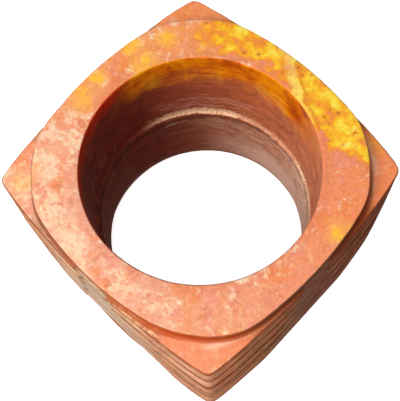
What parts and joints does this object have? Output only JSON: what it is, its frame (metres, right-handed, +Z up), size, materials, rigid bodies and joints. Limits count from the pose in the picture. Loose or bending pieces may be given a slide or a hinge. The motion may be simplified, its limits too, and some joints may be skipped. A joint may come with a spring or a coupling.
{
  "type": "jade cong",
  "caption": "Squat square jade tube with a round through bore, low bare collars and banded corner blocks; a free-standing ritual or display piece.",
  "frame": {"origin": "centre of the foot's face, where the upper bore's axis meets the surface that the cong stands on", "axes": "+Z up along the bore; the four sides face +X, -X, +Y and -Y; the lower drilling lies a little towards +X"},
  "size_m": [0.078, 0.078, 0.061],
  "materials": {
    "jade": "polished jade, worn at the edges, reddish brown with cream mottles and a yellow zone"
  },
  "bodies": {
    "root": {"cong_body": "jade"}
  },
  "joints": []
}
